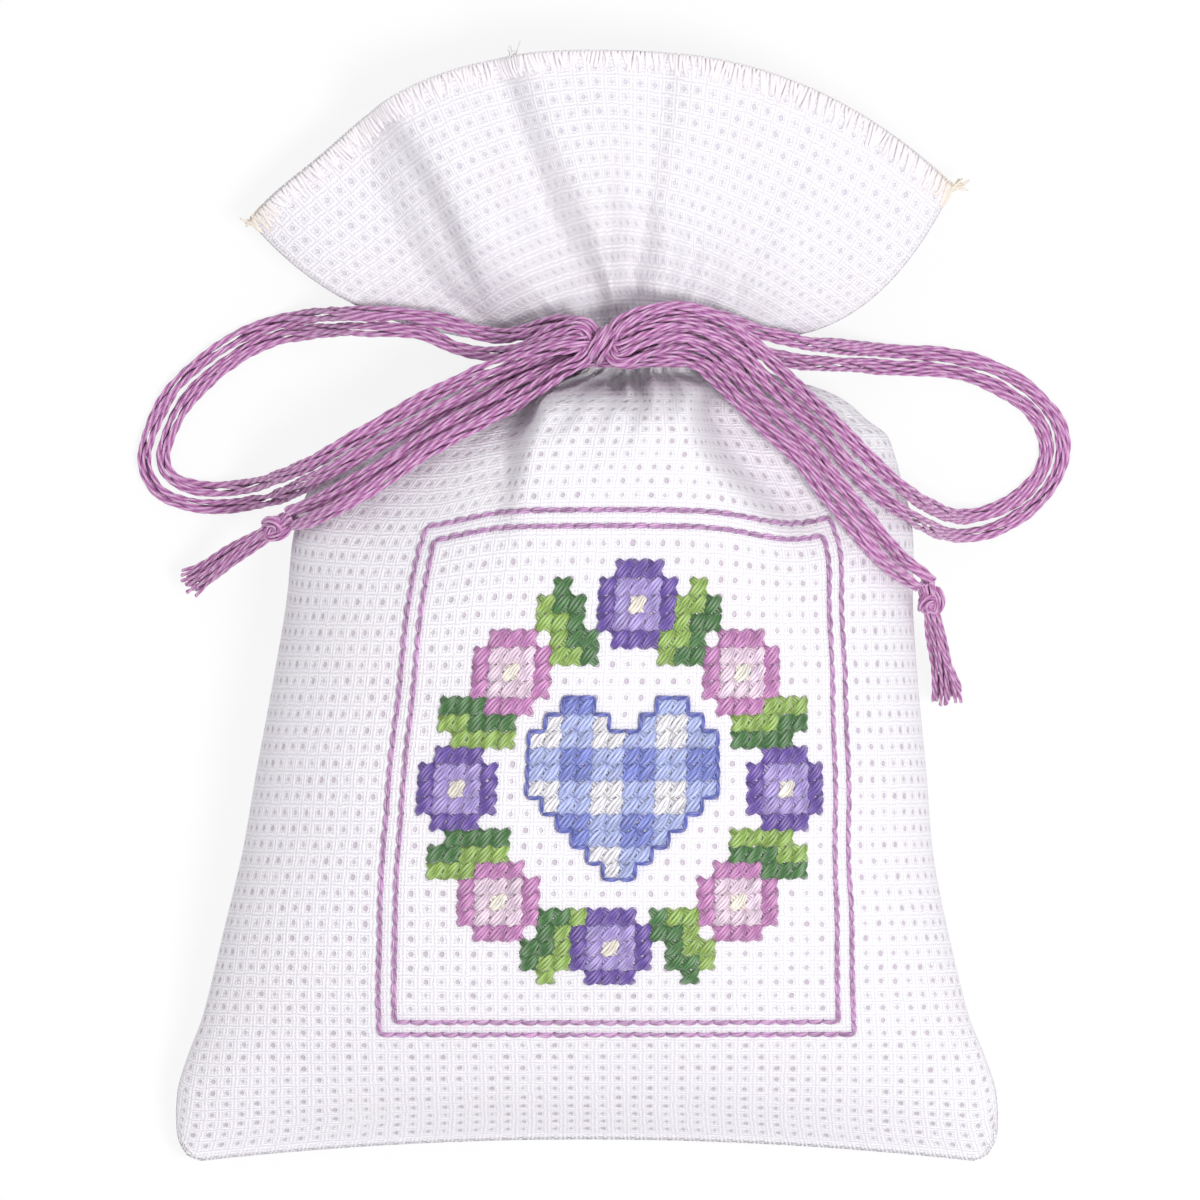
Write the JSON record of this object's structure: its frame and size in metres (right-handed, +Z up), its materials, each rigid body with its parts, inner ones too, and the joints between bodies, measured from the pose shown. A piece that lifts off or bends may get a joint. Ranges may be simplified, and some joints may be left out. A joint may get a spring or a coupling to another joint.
{
  "type": "lavender sachet",
  "caption": "Small evenweave cloth bag filled with dried lavender, gathered at the neck by a floss bow with knotted tassels, with a flared mouth and a cross-stitched front.",
  "frame": {"origin": "on the surface the bag lies on, below the middle of the bag itself, its bow left out", "axes": "+X to the right of the stitched front, +Y from the bottom fold to the mouth, +Z up out of the front"},
  "size_m": [0.0906, 0.1078, 0.031],
  "materials": {
    "cloth": "matt block-weave cotton",
    "seam_thread": "matt sewing thread",
    "buds": "dry and dull, dried flower buds",
    "floss": "soft sheen, stranded cotton",
    "border_floss": "soft sheen, stranded cotton",
    "violet_floss": "soft sheen, stranded cotton",
    "pink_floss": "soft sheen, stranded cotton",
    "green_floss": "soft sheen, stranded cotton",
    "blue_floss": "soft sheen, stranded cotton"
  },
  "bodies": {
    "root": {"front_panel": "cloth", "back_panel": "cloth", "lavender_filling": "buds", "left_seam_stitching": "seam_thread", "right_seam_stitching": "seam_thread", "front_mouth_edging": "seam_thread", "back_mouth_edging": "seam_thread", "neck_turn_1": "floss", "neck_turn_2": "floss", "left_loop_cord_1": "floss", "left_loop_cord_2": "floss", "right_loop_cord_1": "floss", "right_loop_cord_2": "floss", "left_tail_cord_1": "floss", "left_tail_cord_2": "floss", "right_tail_cord_1": "floss", "right_tail_cord_2": "floss", "bow_knot": "floss", "left_tail_knot": "floss", "left_tassel": "floss", "right_tail_knot": "floss", "right_tassel": "floss", "border_outer_line": "border_floss", "border_inner_line": "border_floss", "check_heart": "blue_floss", "blossom_1": "violet_floss", "leaf_1": "green_floss", "blossom_2": "pink_floss", "leaf_2": "green_floss", "blossom_3": "violet_floss", "leaf_3": "green_floss", "blossom_4": "pink_floss", "leaf_4": "green_floss", "blossom_5": "violet_floss", "leaf_5": "green_floss", "blossom_6": "pink_floss", "leaf_6": "green_floss", "blossom_7": "violet_floss", "leaf_7": "green_floss", "blossom_8": "pink_floss", "leaf_8": "green_floss"}
  },
  "joints": []
}
